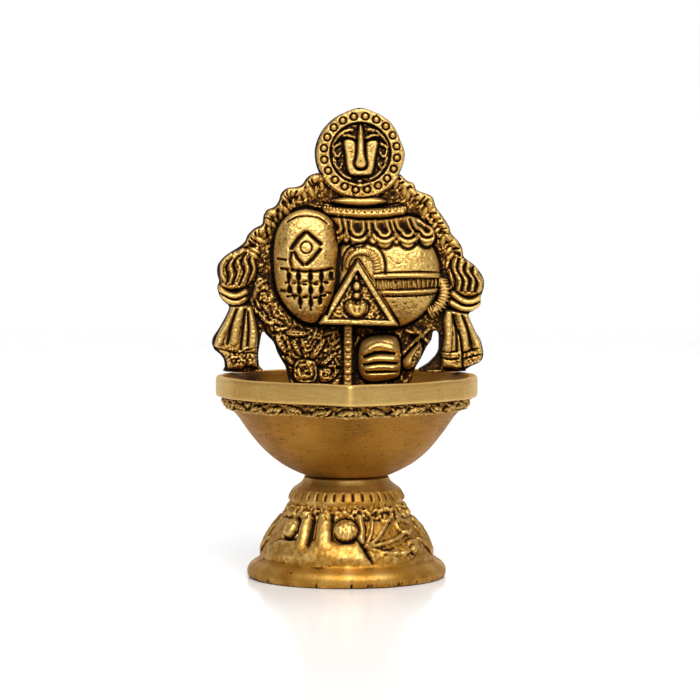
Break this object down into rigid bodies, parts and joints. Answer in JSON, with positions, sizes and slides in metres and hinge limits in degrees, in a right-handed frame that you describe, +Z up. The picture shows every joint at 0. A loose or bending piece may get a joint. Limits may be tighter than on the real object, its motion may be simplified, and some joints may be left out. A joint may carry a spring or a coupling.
{
  "type": "oil lamp",
  "caption": "Small cast brass oil lamp: a leaf-shaped oil bowl on a hollow bell pedestal, with an upright openwork relief plate across its back.",
  "frame": {"origin": "on the surface that the lamp stands on, under the middle of its whole bounding box; the pedestal's axis is 3.6 mm behind it", "axes": "+Z up from the foot to the top of the relief plate, -Y to the front, where the bowl's spout points, +X to the right seen from the front"},
  "size_m": [0.0604, 0.064, 0.1019],
  "materials": {
    "antique_brass": "sand-cast brass with dark patina in the recesses and hand-polished high points",
    "soft_brass": "turned brass, tarnished",
    "plated_steel": "zinc plated, dull"
  },
  "bodies": {
    "root": {"pedestal": "antique_brass", "bowl": "antique_brass", "relief_plate": "antique_brass", "centre_bolt": "soft_brass", "sealing_washer": "soft_brass", "plain_washer": "plated_steel", "hex_nut": "plated_steel"}
  },
  "joints": []
}
